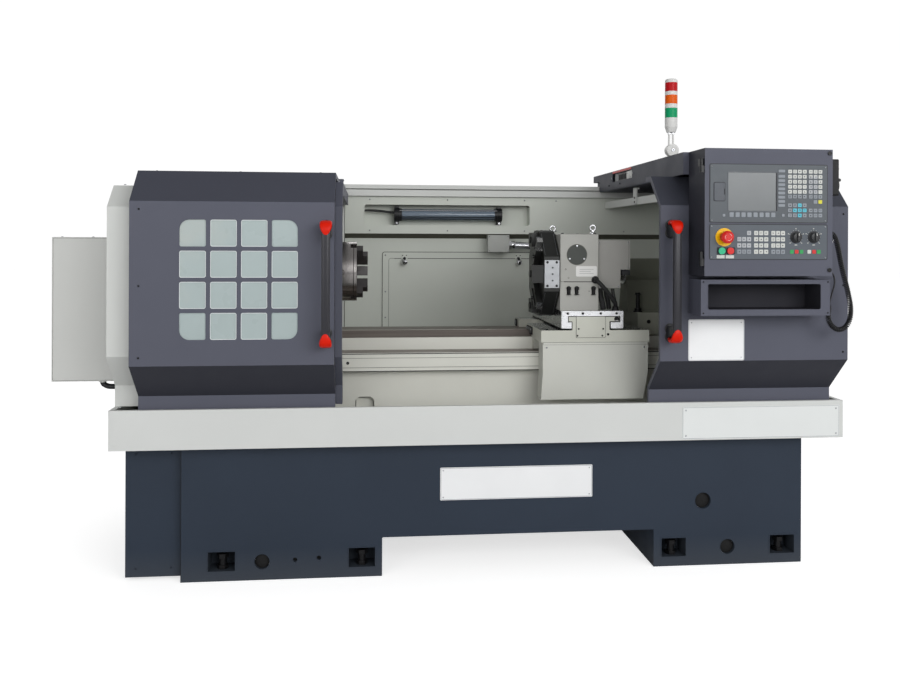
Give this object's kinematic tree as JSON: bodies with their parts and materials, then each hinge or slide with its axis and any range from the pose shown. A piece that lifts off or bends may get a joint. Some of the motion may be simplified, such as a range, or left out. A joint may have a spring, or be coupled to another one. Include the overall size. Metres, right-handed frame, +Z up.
{
  "type": "cnc turning lathe",
  "caption": "Flat-bed turning lathe with sliding hoods, chuck, indexing turret on a cross slide, tailstock, swing-out control pendant and signal tower.",
  "frame": {"origin": "centre of the footprint on the floor", "axes": "+X along the bed to the tailstock, +Y to the back, +Z up; the operator stands on the -Y side"},
  "size_m": [2.625, 1.308, 1.649],
  "materials": {
    "cast_dark": "satin enamel on cast iron",
    "cover_grey": "satin powder coat",
    "hood_dark": "fine textured powder coat",
    "pan_grey": "satin powder coat",
    "guard_green_grey": "satin powder coat",
    "bed_cream": "cream enamel with ground ways",
    "cast_light": "light grey enamel",
    "steel": "turned steel",
    "steel_dark": "ground and oiled steel",
    "black_oxide": "black oxide",
    "motor": "matt black housing",
    "rubber": "matt",
    "black_plastic": "fine grain",
    "panel": "printed film",
    "pane": "clear polycarbonate",
    "red": "gloss",
    "green": "gloss",
    "white_plastic": "satin",
    "silver": "satin",
    "lamp": "clear tube"
  },
  "bodies": {
    "machine_frame": {"base_cabinet": "cast_dark", "base_end_panel": "cast_dark", "levelling_feet": "black_oxide", "chip_pan": "pan_grey", "bed": "bed_cream", "drive_motors": "motor", "headstock_housing": "cast_light", "spindle_bearings": "steel", "drive_belt": "rubber", "headstock_cover": "cover_grey", "belt_guard": "cover_grey", "rear_guard": "guard_green_grey", "access_panel": "guard_green_grey", "work_lamp": "lamp", "hood_rails": "cover_grey", "tailstock_end_cover": "cover_grey", "electrical_cabinet": "cover_grey"},
    "main_spindle": {"spindle": "steel", "spindle_pulley": "steel_dark", "chuck_body": "steel_dark"},
    "jaw_1": {"chuck_jaw_1": "steel_dark"},
    "jaw_2": {"chuck_jaw_2": "steel_dark"},
    "jaw_3": {"chuck_jaw_3": "steel_dark"},
    "motor_shaft": {"motor_pulley": "steel_dark"},
    "feed_screw": {"z_screw": "steel"},
    "rear_door": {"cabinet_door": "cover_grey"},
    "carriage": {"saddle": "cast_light", "apron": "cover_grey"},
    "cross_screw": {"x_screw": "steel"},
    "cross_slide": {"cross_slide": "silver", "turret_body": "cast_light", "turret_motor_cover": "cast_light"},
    "turret": {"turret_disc": "black_oxide", "turret_tools": "black_oxide"},
    "tailstock": {"tailstock_body": "cast_dark"},
    "tail_quill": {"quill": "steel"},
    "tail_wheel": {"tailstock_handwheel": "steel"},
    "hood_left": {"left_hood": "hood_dark", "left_window": "pane", "left_handle": "black_plastic"},
    "hood_right": {"right_hood": "hood_dark", "right_handle": "black_plastic", "roof_beam": "hood_dark", "tower_base": "white_plastic", "pendant_housing": "hood_dark", "shelf_pocket": "hood_dark", "mpg_unit": "black_plastic", "cord_coil": "rubber", "cord_lead": "rubber"},
    "signal_tower": {"signal_column": "white_plastic"},
    "pendant_front": {"pendant_door": "hood_dark", "control_panels": "panel"},
    "e_stop": {"e_stop_head": "red"},
    "power_on": {"power_on_button": "green"},
    "power_off": {"power_off_button": "red"},
    "feed_override": {"feed_override_knob": "black_plastic"},
    "spindle_override": {"spindle_override_knob": "black_plastic"},
    "lock_upper": {"pendant_lock_upper": "steel_dark"},
    "lock_lower": {"pendant_lock_lower": "steel_dark"},
    "pulse_wheel": {"mpg_wheel": "black_plastic"}
  },
  "joints": [
    {"name": "spindle_spin", "type": "hinge", "parent": "machine_frame", "child": "main_spindle", "pos_m": [-1.0615, 0.059, 0.976], "axis": [1, 0, 0], "continuous": true},
    {"name": "jaw_1_grip", "type": "slide", "parent": "main_spindle", "child": "jaw_1", "axis": [0, -0.5, 0.866], "range_m": [-0.01, 0.008]},
    {"name": "jaw_2_grip", "type": "slide", "parent": "main_spindle", "child": "jaw_2", "axis": [0, -0.5, -0.866], "range_m": [-0.01, 0.008]},
    {"name": "jaw_3_grip", "type": "slide", "parent": "main_spindle", "child": "jaw_3", "axis": [0, 1, 0], "range_m": [-0.01, 0.008]},
    {"name": "motor_spin", "type": "hinge", "parent": "machine_frame", "child": "motor_shaft", "pos_m": [-1.0615, 0.354, 0.722], "axis": [1, 0, 0], "continuous": true},
    {"name": "feed_screw_turn", "type": "hinge", "parent": "machine_frame", "child": "feed_screw", "pos_m": [-0.0615, 0.279, 0.7], "axis": [1, 0, 0], "range_deg": [0, 19085]},
    {"name": "carriage_slide", "type": "slide", "parent": "machine_frame", "child": "carriage", "axis": [-1, 0, 0], "range_m": [0, 0.53]},
    {"name": "cross_screw_turn", "type": "hinge", "parent": "carriage", "child": "cross_screw", "pos_m": [0.4815, 0.014, 0.812], "axis": [0, 1, 0], "range_deg": [-7205, 7925]},
    {"name": "cross_slide_travel", "type": "slide", "parent": "carriage", "child": "cross_slide", "axis": [0, -1, 0], "range_m": [-0.1, 0.11]},
    {"name": "turret_index", "type": "hinge", "parent": "cross_slide", "child": "turret", "pos_m": [0.3525, -0.093, 0.977], "axis": [1, 0, 0], "continuous": true},
    {"name": "tailstock_slide", "type": "slide", "parent": "machine_frame", "child": "tailstock", "axis": [1, 0, 0], "range_m": [0, 0.13]},
    {"name": "tail_wheel_turn", "type": "hinge", "parent": "tailstock", "child": "tail_wheel", "pos_m": [0.9985, 0.059, 0.976], "axis": [1, 0, 0], "range_deg": [0, 8645]},
    {"name": "quill_travel", "type": "slide", "parent": "tailstock", "child": "tail_quill", "axis": [-1, 0, 0], "range_m": [0, 0.12]},
    {"name": "left_hood_slide", "type": "slide", "parent": "machine_frame", "child": "hood_left", "axis": [1, 0, 0], "range_m": [0, 0.509]},
    {"name": "right_hood_slide", "type": "slide", "parent": "machine_frame", "child": "hood_right", "axis": [-1, 0, 0], "range_m": [0, 0.509]},
    {"name": "signal_tower_fold", "type": "hinge", "parent": "hood_right", "child": "signal_tower", "pos_m": [0.7705, -0.23, 1.403], "axis": [0, 1, 0], "range_deg": [0, 90]},
    {"name": "pendant_front_swing", "type": "hinge", "parent": "hood_right", "child": "pendant_front", "pos_m": [0.7355, -0.608, 1.18], "axis": [0, 0, -1], "range_deg": [0, 110]},
    {"name": "rear_door_swing", "type": "hinge", "parent": "machine_frame", "child": "rear_door", "pos_m": [-1.0375, 0.644, 0.92], "axis": [0, 0, 1], "range_deg": [0, 110]},
    {"name": "e_stop_push", "type": "slide", "parent": "pendant_front", "child": "e_stop", "axis": [0, 1, 0], "range_m": [0, 0.005]},
    {"name": "power_on_push", "type": "slide", "parent": "pendant_front", "child": "power_on", "axis": [0, 1, 0], "range_m": [0, 0.003], "stiffness_N_per_m": 400},
    {"name": "power_off_push", "type": "slide", "parent": "pendant_front", "child": "power_off", "axis": [0, 1, 0], "range_m": [0, 0.003], "stiffness_N_per_m": 400},
    {"name": "feed_override_turn", "type": "hinge", "parent": "pendant_front", "child": "feed_override", "pos_m": [1.0301, -0.626, 1.1043], "axis": [0, -1, 0], "range_deg": [-135, 135]},
    {"name": "spindle_override_turn", "type": "hinge", "parent": "pendant_front", "child": "spindle_override", "pos_m": [1.0867, -0.626, 1.1046], "axis": [0, -1, 0], "range_deg": [-135, 135]},
    {"name": "lock_upper_turn", "type": "hinge", "parent": "pendant_front", "child": "lock_upper", "pos_m": [1.1385, -0.616, 1.3615], "axis": [0, 1, 0], "range_deg": [0, 90]},
    {"name": "lock_lower_turn", "type": "hinge", "parent": "pendant_front", "child": "lock_lower", "pos_m": [1.1385, -0.616, 1.0035], "axis": [0, 1, 0], "range_deg": [0, 90]},
    {"name": "pulse_wheel_spin", "type": "hinge", "parent": "hood_right", "child": "pulse_wheel", "pos_m": [1.1835, -0.561, 1.266], "axis": [1, 0, 0], "continuous": true}
  ],
  "couplings": [
    {"joint": "motor_spin", "follows": "spindle_spin", "ratio": 1.6394},
    {"joint": "jaw_2_grip", "follows": "jaw_1_grip", "ratio": 1},
    {"joint": "jaw_3_grip", "follows": "jaw_1_grip", "ratio": 1},
    {"joint": "feed_screw_turn", "follows": "carriage_slide", "rad_per_m": 628.32},
    {"joint": "cross_screw_turn", "follows": "cross_slide_travel", "rad_per_m": 1256.6},
    {"joint": "tail_wheel_turn", "follows": "quill_travel", "rad_per_m": 1256.6}
  ]
}
